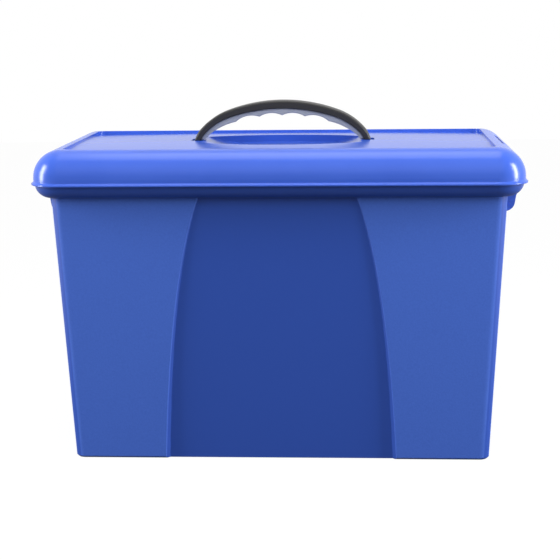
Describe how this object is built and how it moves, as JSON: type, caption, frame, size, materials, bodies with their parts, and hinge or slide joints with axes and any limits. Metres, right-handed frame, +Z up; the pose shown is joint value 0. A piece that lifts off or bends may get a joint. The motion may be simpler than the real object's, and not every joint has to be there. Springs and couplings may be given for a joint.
{
  "type": "portable file box",
  "caption": "Lift-off lid box that carries hanging files on inner rails, with an arched top handle and a wrap-over snap clip at each end.",
  "frame": {"origin": "centre of the footprint, on the ground the box stands on", "axes": "+X along the box's length, +Y from the front to the back, +Z up"},
  "size_m": [0.4334, 0.2398, 0.3175],
  "materials": {
    "box_plastic": "satin blue, fine sparked texture on the tub",
    "pin_plastic": "plain blue",
    "handle_plastic": "black with a fine diagonal grain",
    "soft_grip": "soft matt grey"
  },
  "bodies": {
    "tub": {"tub": "box_plastic", "left_clip_pin": "pin_plastic", "right_clip_pin": "pin_plastic"},
    "lid": {"lid": "box_plastic"},
    "handle": {"handle_core": "handle_plastic", "handle_grip": "soft_grip"},
    "left_clip": {"left_clip": "box_plastic"},
    "right_clip": {"right_clip": "box_plastic"}
  },
  "joints": [
    {"name": "lid_lift", "type": "slide", "parent": "tub", "child": "lid", "axis": [0, 0, 1], "range_m": [0, 0.2]},
    {"name": "handle_lift", "type": "slide", "parent": "lid", "child": "handle", "axis": [0, 0, 1], "range_m": [0, 0.005]},
    {"name": "right_clip_swing", "type": "hinge", "parent": "tub", "child": "right_clip", "pos_m": [0.20518, 0, 0.226], "axis": [0, 1, 0], "range_deg": [0, 120]},
    {"name": "left_clip_swing", "type": "hinge", "parent": "tub", "child": "left_clip", "pos_m": [-0.20518, 0, 0.226], "axis": [0, -1, 0], "range_deg": [0, 120]}
  ]
}
